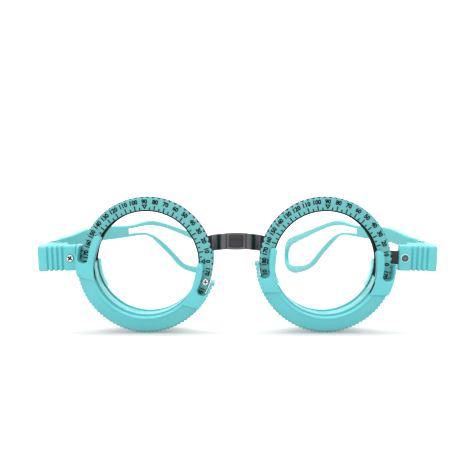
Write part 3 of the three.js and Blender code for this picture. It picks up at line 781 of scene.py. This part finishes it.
def holder(side):
    """The lens holder: a lipped band swept round below, pads with arms, knurled rim and collar."""
    slot_front, slot_back = HOLDER_SLOT
    band = [(BAND_LIP, slot_front), *BAND_FRONT, (BAND_OUTER, WEB_BACK), (COLLAR_INNER, WEB_BACK),
            (COLLAR_INNER, slot_back), (LENS_SLOT, slot_back), (LENS_SLOT, slot_front)]
    (rim_inner, rim_outer), (rim_front, rim_back) = RIM_RADII, RIM_DEPTHS
    rim = [(rim_inner, rim_front), (rim_inner + RIM_LAND, rim_front),
           (rim_outer, rim_front + RIM_BEVEL), (rim_outer, rim_back), (rim_inner, rim_back)]
    lug = rounded(box_section(rim_inner, LUG_RADIUS, rim_front, rim_back), ROUNDS["rim"])
    collar = box_section(COLLAR_INNER, ROTOR_RADIUS, slot_back, COLLAR_BACK)
    hook = rounded(box_section(*HOOK), ROUNDS["fine"])
    shapes = [
        swept(rounded(band, ROUNDS["band"]), *BAND_ANGLES),
        swept(rounded(rim, ROUNDS["rim"]), -180 + LUG_ANGLE, -LUG_ANGLE, KNURL_STEP, knurl),
        swept(rounded(collar, ROUNDS["thin"]), *COLLAR_ANGLES),
    ]
    shapes += [swept(lug, start, start + LUG_ANGLE) for start in (-180, -LUG_ANGLE)]
    shapes += [swept(hook, middle - HOOK_HALF_ANGLE, middle + HOOK_HALF_ANGLE)
               for middle in HOOK_ANGLES]
    tip, foot = PAD_TIPS
    for sign in (-1, 1):
        lipped, core = holder_end(tip, foot - tip, sign), holder_end(LENS_SLOT, 0, sign)
        shapes += [
            plate(lipped, [], HOLDER_FRONT, slot_front + LIP_OVERLAP, ROUNDS["lip"]),
            plate(lipped, [], slot_back, WEB_BACK, ROUNDS["fine"]),
            plate(core, [], slot_front - OVERLAP, slot_back + OVERLAP, ROUNDS["hair"]),
        ]
    add_piece(f"holder_shell_{side}", gathered(shapes), ring_matrix(side, HOLDER_TURNS[side]),
              f"holder_{side}", "holder_plastic", f"front_holder_{side}")


def carrier(side):
    """The carrier: a flange held behind the dial and a thin barrel that lines its bore."""
    shapes = [
        swept(rounded(box_section(*CARRIER_FLANGE), ROUNDS["flange"]), 0, 360),
        swept(rounded(box_section(*CARRIER_BARREL), ROUNDS["thin"]), *BARREL_ANGLES),
        swept(rounded(box_section(*CARRIER_NECK), ROUNDS["hair"]), *NECK_ANGLES),
    ]
    add_piece(f"carrier_band_{side}", gathered(shapes), ring_matrix(side, HOLDER_TURNS[side]),
              f"holder_{side}", "blackened_metal", f"carrier_ring_{side}")


def chassis(side):
    """The black ring behind the dial, its inner flange, and the tab that the end block grips."""
    front, back = CHASSIS_DEPTHS
    inner, outer, flange_front = CHASSIS_FLANGE
    wall = box_section(CHASSIS_INNER, CHASSIS_OUTER, front + SLIVER, back)
    flange = box_section(inner, outer, flange_front, back - SLIVER / 2)
    reach = BLOCK_SEATS[side] + TAB_REACH
    (near, far), (low, high) = TAB_DEPTHS, TAB_HEIGHTS
    centre = ((reach + outer) / 2, (near + far) / 2, (low + high) / 2)
    shapes = [swept(rounded(wall, ROUNDS["metal"]), 0, 360),
              swept(rounded(flange, ROUNDS["fine"]), 0, 360),
              oblong(reach - outer, far - near, high - low, centre, ROUNDS["cell"])]
    add_piece(f"chassis_ring_{side}", gathered(shapes), eye_matrix(side), "front", "black_metal",
              f"chassis_{side}")


def rear_cell(side):
    """The lens cell behind: a lipped band below, and a claw at each end that reaches further in."""
    front, seat, slot_back, back = CELL_DEPTHS
    near = front + SLIVER
    section = [(DIAL_BORE, near), (CELL_OUTER, near), (CELL_OUTER, back), (CELL_LIP, back),
               (CELL_LIP, slot_back), (LENS_SLOT, slot_back), (LENS_SLOT, seat), (DIAL_BORE, seat)]
    shell = swept(rounded(section, ROUNDS["cell"]), *CELL_ANGLES)
    add_piece(f"rear_cell_shell_{side}", shell, eye_matrix(side), "front", "cell_plastic",
              f"rear_cell_{side}")
    claw = rounded(box_section(*CLAW_RADII, slot_back, back - SLIVER), ROUNDS["cell"])
    claws = gathered([swept(claw, *angles) for angles in CLAW_ANGLES])
    # The claws take a pale tone of painted light, as if their inner walls were brightly lit
    add_piece(f"rear_claws_{side}", claws, eye_matrix(side), "front", "pale_lit_plastic")


# Fasteners, end blocks and bridge

def disc(radius, front, back, centre, rounding, count=40):
    """A round head along the ring's axis with rounded edges."""
    return plate(ring_loop(radius, count, centre), [], front, back, rounding)


def cross_outline(reach, half_width, turn, centre):
    """A plus sign, anticlockwise, turned by an angle in degrees."""
    quarter = np.array([[reach, -half_width], [reach, half_width], [half_width, half_width]])
    turns = [radians(90 * i + turn) for i in range(4)]
    turned = [quarter @ np.array([[cos(a), sin(a)], [-sin(a), cos(a)]]) for a in turns]
    return np.concatenate(turned) + centre


def cross_screw(name, side, radius, front, centre, turn, shares):
    """A pan head whose cross recess is a dark plate of painted shade on its face."""
    head = disc(radius, front, front + SCREW_HEAD_HEIGHT, centre, ROUNDS["band"])
    add_piece(f"{name}_head", head, eye_matrix(side), "front", "chrome", name)
    reach, half_width = [share * radius for share in shares]
    cross = cross_outline(reach, half_width, turn, centre)
    # Painted shade: a dark cross plate where the recess's shade falls
    recess = plate(cross, [], front - SLIVER, front + RECESS_DEPTH, ROUNDS["recess"])
    add_piece(f"{name}_recess", recess, eye_matrix(side), "front", "ink_and_painted_shade")


def washer(name, side, ring, centre, material):
    """A flat ring about a fastener."""
    inner, outer, front, back = ring
    hole = ring_loop(inner, 48, centre, clockwise=True)
    rounding = min(ROUNDS["flange"], (back - front) / 3)
    shape = plate(ring_loop(outer, 48, centre), [hole], front, back, rounding)
    add_piece(name, shape, eye_matrix(side), "front", material)


def block_section(x, inset, back):
    """The block's cross-section at x: a rounded rectangle, drawn in by the inset."""
    front = BLOCK_DEPTHS[0] + inset
    low, high = BLOCK_BOTTOM + inset, BLOCK_TOP - inset
    corners = [(front, low), (back - inset, low), (back - inset, high), (front, high)]
    return np.insert(rounded(corners, BLOCK_FILLET, 5), 0, x, axis=1)


def end_block(side):
    """The block: sections along X, with the hinge lug.

    Each section is drawn in by g cos^2 across every groove, and by r (1 - sqrt(1 - t^2)) at the two
    ends, where t goes from 0 to 1 over the last r."""
    seat, back = BLOCK_SEATS[side], BLOCK_DEPTHS[1]
    neck_back = TAB_DEPTHS[1] + GAP + NECK_WALL
    near_round, far_round = BLOCK_ROUNDS
    far_start = BLOCK_LENGTH - far_round
    place = np.concatenate([
        np.linspace(0, near_round, 6),
        *[np.linspace(*stations) for stations in BLOCK_STATIONS],
        far_start + far_round * np.sin(np.linspace(0, pi / 2, 8)),
    ])
    near_end = np.clip((near_round - place) / near_round, 0, 1)
    far_end = np.clip((place - far_start) / far_round, 0, 1)
    inset = near_round * (1 - np.sqrt(1 - near_end ** 2))
    inset += far_round * (1 - np.sqrt(1 - far_end ** 2))
    for i in range(GROOVE_COUNT):
        away = np.clip((place - GROOVE_FIRST - i * GROOVE_PITCH) / GROOVE_HALF, -1, 1)
        inset += GROOVE_DEPTH * np.cos(away * pi / 2) ** 2
    sections = np.stack([block_section(seat + x, depth, neck_back if x < GROOVE_FIRST else back)
                         for x, depth in zip(place, inset)])
    pin, root = seat + HINGE_PLACE, back - LUG_ROOT
    lug = np.concatenate([[[pin - BARREL_RADIUS, root], [pin + BARREL_RADIUS, root]],
                          arc(BARREL_RADIUS, 0, 180, 30, (pin, HINGE_DEPTH))])
    lug_plate = plate(lug, [], BLOCK_BOTTOM + EAR_HEIGHT, BLOCK_TOP - EAR_HEIGHT, ROUNDS["head"])
    shapes = [lofted(sections), upright(lug_plate)]
    add_piece(f"end_block_body_{side}", gathered(shapes), eye_matrix(side), "front",
              "holder_plastic", f"end_block_{side}", smooth_angle=30)


def hinge_pin(side):
    """The hinge's rod with a domed head at each end."""
    centre = (BLOCK_SEATS[side] + HINGE_PLACE, HINGE_DEPTH)
    low, high = BLOCK_BOTTOM - GAP, BLOCK_TOP + GAP
    head, height = HINGE_HEAD
    rods = [disc(HINGE_ROD, low - OVERLAP, high + OVERLAP, centre, ROUNDS["metal"]),
            disc(head, high, high + height, centre, ROUNDS["pin"]),
            disc(head, low - height, low, centre, ROUNDS["pin"])]
    add_piece(f"hinge_pin_rod_{side}", gathered([upright(rod) for rod in rods]), eye_matrix(side),
              "front", "chrome", f"hinge_pin_{side}")


def rivet(side, place, share):
    """A bridge rivet: shank and domed head behind the strip."""
    middle = (CHASSIS_INNER + CHASSIS_OUTER) / 2
    rise = asin((BRIDGE_BOTTOM + share * BRIDGE_HEIGHT) / middle)
    centre = polar(middle, degrees(pi - rise + DROOP))
    back = CHASSIS_DEPTHS[1] + BRIDGE_THICKNESS
    head, height = RIVET_HEAD
    shapes = [disc(RIVET_SHANK, RIVET_FRONT, back + 2 * OVERLAP, centre, ROUNDS["metal"], 24),
              disc(head, back, back + height, centre, ROUNDS["head"], 32)]
    add_piece(f"rivet_{side}_{place}", gathered(shapes), eye_matrix(side), "front", "black_metal",
              f"bridge_rivet_{side}_{place}")


def block_fasteners():
    """The left block's cross screw in a dark ring of painted shade, and the right block's pin with
    its collar, a pale ring of painted light.
    """
    front = BLOCK_DEPTHS[0] - FASTENER_PROUD
    left, right = [(BLOCK_SEATS[side] + FASTENER_PLACE, FASTENER_HEIGHT) for side in SIDES]
    cross_screw("block_screw_left", "left", FASTENER_RADIUS, front, left, BLOCK_CROSS_TURN,
                BLOCK_CROSS_SHARES)
    # Painted shade: a dark ring where the gap round the head lies in shade
    washer("block_screw_shade_ring", "left", SCREW_SHADE_RING, left, "ink_and_painted_shade")
    head = disc(FASTENER_RADIUS, front, front + SCREW_HEAD_HEIGHT, right, ROUNDS["head"])
    add_piece("block_pin_head", head, eye_matrix("right"), "front", "grey_pin", "block_pin_right")
    radius, depth = PIN_CENTRE
    dot = disc(radius, front - SLIVER, front + depth, right, ROUNDS["recess"], 20)
    add_piece("block_pin_centre", dot, eye_matrix("right"), "front", "pin_centre")
    # The collar is a pale ring of painted light
    washer("block_pin_collar", "right", PIN_COLLAR, right, "pale_lit_plastic")


def bridge_strip():
    """The strip: a rounded bar along a bent plan.

    With s = x / half, it lifts by a (1 - s^2), and its lower edge drops by f s^2. Its plan comes
    forward by half of 1 + cos(pi t^p), where t goes from 0 to 1 over the bend."""
    x = np.linspace(-BRIDGE_HALF, BRIDGE_HALF, BRIDGE_STATIONS)
    near, far = BRIDGE_BEND
    share = np.clip((np.abs(x) - near) / (far - near), 0, 1) ** BRIDGE_BEND_POWER
    y = BRIDGE_LAP - BRIDGE_FORWARD * (0.5 + 0.5 * np.cos(pi * share))
    along = np.stack([np.gradient(x), np.gradient(y)], axis=1)
    along /= np.linalg.norm(along, axis=1, keepdims=True)
    half_thick, half_high = BRIDGE_THICKNESS / 2, BRIDGE_HEIGHT / 2
    section = rounded([(-half_thick, -half_high), (half_thick, -half_high), (half_thick, half_high),
                       (-half_thick, half_high)], ROUNDS["bar"])
    across, up = section[None, :, 0], section[None, :, 1]
    middle = BRIDGE_BOTTOM + half_high + BRIDGE_ARCH * (1 - (x / BRIDGE_HALF) ** 2)
    flare = np.where(up < 0, BRIDGE_FLARE, 0) * (x[:, None] / BRIDGE_HALF) ** 2
    sections = np.stack([x[:, None] - across * along[:, 1:], y[:, None] + across * along[:, :1],
                         middle[:, None] + up - flare], axis=-1)
    # Its material paints reflections and shade in bands along the strip
    add_piece("bridge_band", lofted(sections), middle_matrix(), "front", "bridge_metal",
              "bridge_strip")


def badge_outline(inset):
    """The badge's outline: straight ends, top and bottom bulged by b (1 - s^2)."""
    half_wide, half_high = BADGE_HALF - inset, BADGE_HEIGHT / 2 - BADGE_BULGE - inset
    share = np.linspace(-1, 1, 21)
    lift = half_high + BADGE_BULGE * (1 - share ** 2)
    top = np.stack([-share * half_wide, BADGE_MIDDLE + lift], axis=1)
    bottom = np.stack([share * half_wide, BADGE_MIDDLE - lift], axis=1)
    return np.concatenate([bottom, top])


def badge():
    """The plate on the strip: a raised frame round a plain sunk panel."""
    front = BADGE_BACK - BADGE_THICKNESS
    opening = badge_outline(BADGE_FRAME)[::-1]
    raised = plate(badge_outline(0), [opening], front, BADGE_BACK, ROUNDS["band"])
    # Its material paints reflections and shade in bands across the badge
    add_piece("bridge_badge", raised, middle_matrix(), "front", "bridge_metal", "bridge_plate")
    inset, sunk = BADGE_PANEL
    panel = plate(badge_outline(inset), [], front + sunk, BADGE_BACK - SLIVER, ROUNDS["metal"])
    add_piece("bridge_badge_panel", panel, middle_matrix(), "front", "panel_metal")


# Temples

def centripetal(points, count):
    """A centripetal Catmull-Rom curve through the points, resampled to even steps along its length.

    Each span mixes its four knots in three rounds of linear steps, where the time between two knots
    is the square root of their distance."""
    knots = np.array([2 * points[0] - points[1], *points, 2 * points[-1] - points[-2]])
    steps = np.sqrt(np.linalg.norm(np.diff(knots, axis=0), axis=1))
    times = np.concatenate([[0], np.cumsum(steps)])
    spans = []
    for i in range(1, len(knots) - 2):
        t = np.linspace(times[i], times[i + 1], 40, endpoint=False)[:, None]
        mixed = list(knots[i - 1:i + 3])
        for reach, first in ((1, i - 1), (2, i - 1), (1, i)):
            mixed = [((after - t) * low + (t - before) * high) / (after - before)
                     for low, high, before, after
                     in zip(mixed, mixed[1:], times[first:], times[first + reach:])]
        spans.append(mixed[0])
    dense = np.concatenate([*spans, knots[-2:-1]])
    length = np.concatenate([[0], np.cumsum(np.linalg.norm(np.diff(dense, axis=0), axis=1))])
    even = np.linspace(0, length[-1], count)
    return np.stack([np.interp(even, length, dense[:, k]) for k in range(2)], axis=1)


def temple(side):
    """The blade: a plate between a smooth outline and the loop's opening, with two hinge ears."""
    size = np.array([TEMPLE_LENGTH, TEMPLE_DROP])
    outline = np.vstack([[0, BLOCK_TOP], TEMPLE_OUTLINE_SHARES * size, [0, BLOCK_BOTTOM]])
    edge, hole = centripetal(outline, 420), centripetal(LOOP_OPENING_SHARES * size, 260)
    low_ear, high_ear = BLOCK_BOTTOM + EAR_HEIGHT - GAP, BLOCK_TOP - EAR_HEIGHT + GAP
    reach = BARREL_RADIUS + GAP
    notch = [[0, low_ear], [reach, low_ear], [reach, high_ear], [0, high_ear]]
    half = TEMPLE_THICKNESS / 2
    points, faces = plate(np.concatenate([edge, notch])[::-1], [hole], -half, half, ROUNDS["blade"])
    shapes = [(points[:, [1, 0, 2]], faces)]
    for low, high in ((BLOCK_BOTTOM, low_ear), (high_ear, BLOCK_TOP)):
        shapes.append(upright(plate(ring_loop(BARREL_RADIUS, 48), [], low, high, ROUNDS["bar"])))
    add_piece(f"temple_blade_{side}", gathered(shapes), temple_matrix(side), f"temple_{side}",
              "temple_plastic", f"temple_{side}")


# Printed scale

def number_outline(text):
    """The printed number as flat faces, centred: (points across and up, faces)."""
    curve = bpy.data.curves.new("number", "FONT")
    curve.body = text
    curve.align_x, curve.align_y = "CENTER", "CENTER"
    curve.offset = NUMBER_WEIGHT
    curve.resolution_u = 3
    lettering = bpy.data.objects.new("number", curve)
    scene.collection.objects.link(lettering)
    bpy.context.view_layer.update()
    shown = lettering.evaluated_get(bpy.context.evaluated_depsgraph_get())
    mesh = bpy.data.meshes.new_from_object(shown)
    points = np.empty(3 * len(mesh.vertices))
    mesh.vertices.foreach_get("co", points)
    points = points.reshape(-1, 3)[:, :2]
    faces = [list(face.vertices) for face in mesh.polygons]
    bpy.data.meshes.remove(mesh)
    bpy.data.objects.remove(lettering)
    bpy.data.curves.remove(curve)
    low, high = points.min(axis=0), points.max(axis=0)
    height = high[1] - low[1]
    return (points - (low + high) / 2) * NUMBER_HEIGHT / height * [NUMBER_NARROWING, 1], faces


def around(flat, radius, angle):
    """Points across and up, turned so that up is outward, at a radius and angle of the dial."""
    across, up = flat[:, 0], flat[:, 1] + radius
    right = across * sin(angle) + up * cos(angle)
    return np.stack([right, up * sin(angle) - across * cos(angle)], axis=1)


def bar(inner, outer, width):
    """A printed bar between two radii, as points across and up of its middle."""
    across, up = width / 2, (outer - inner) / 2
    return np.array([[-across, -up], [across, -up], [across, up], [-across, up]])


def scale_marks(side):
    """Numbers each 10 degrees, ticks each 5 and pointers at the quarters: flat ink on the dial."""
    inner, outer, half_width = POINTER
    tip = np.array([[0, inner], [half_width, outer], [-half_width, outer]])
    pointer = np.concatenate([tip, inset_loop(tip, POINTER_LINE)])
    shapes = []
    for mark in range(0, 360, 5):
        angle, numbered = radians(mark), mark % 10 == 0
        if mark in POINTER_MARKS:
            shapes.append((around(pointer, 0, angle), [[0, 1, 4, 3], [1, 2, 5, 4], [2, 0, 3, 5]]))
        else:
            near, far = LONG_TICK if numbered else SHORT_TICK
            tick = bar(near, far, TICK_WIDTH)
            shapes.append((around(tick, (near + far) / 2, angle), [[0, 1, 2, 3]]))
        if numbered and mark not in MARKS_UNDER_SCREWS:
            points, faces = number_outline(str(mark if mark <= 180 else mark - 180))
            shapes.append((around(points, NUMBER_CIRCLE, angle), faces))
    flat, faces = gathered(shapes)
    points = placed(np.insert(flat, 1, -INK_LIFT, axis=1), ring_matrix(side))
    mesh = bpy.data.meshes.new(f"scale_print_{side}")
    mesh.from_pydata(points.tolist(), [], faces)
    if any(face.normal.y > 0 for face in mesh.polygons):
        mesh.flip_normals()
    finish_piece(linked(mesh), "front", "ink_and_painted_shade")


def make_floor():
    """A white sweep: a plane that just touches the rims and a loop, then a quarter turn upward."""
    turn = np.linspace(0, pi / 2, 25)
    depth = np.concatenate([[-FLOOR_REACH], SWEEP_START + SWEEP_RADIUS * np.sin(turn),
                            [SWEEP_START + SWEEP_RADIUS]])
    height = np.concatenate([[-FLOOR_REACH * FLOOR_RISE],
                             SWEEP_START * FLOOR_RISE + SWEEP_RADIUS * (1 - np.cos(turn)),
                             [FLOOR_REACH]]) - RING_CENTRES["left"].y * FLOOR_RISE
    points = [(x, y, z) for y, z in zip(depth, height) for x in (-FLOOR_REACH, FLOOR_REACH)]
    faces = [(2 * i, 2 * i + 1, 2 * i + 3, 2 * i + 2) for i in range(len(depth) - 1)]
    mesh = bpy.data.meshes.new("studio_floor")
    mesh.from_pydata(points, [], faces)
    mesh.shade_smooth()
    mesh.materials.append(floor_finish())
    floor = linked(mesh)


make_camera()
make_lights()
make_floor()
scene.view_settings.view_transform = "Standard"

EYE_PIECES = (dial, scale_marks, holder, carrier, chassis, rear_cell, end_block, hinge_pin, temple)
for eye_side in SIDES:
    for make_piece in EYE_PIECES:
        make_piece(eye_side)
    for spot, angle in SCREW_ANGLES.items():
        cross_screw(f"dial_screw_{eye_side}_{spot}", eye_side, SCREW_HEAD, 0,
                    polar(SCREW_CIRCLE, angle), DIAL_CROSS_TURN, DIAL_CROSS_SHARES)
    for spot, share in RIVET_SHARES.items():
        rivet(eye_side, spot, share)
block_fasteners()
bridge_strip()
badge()
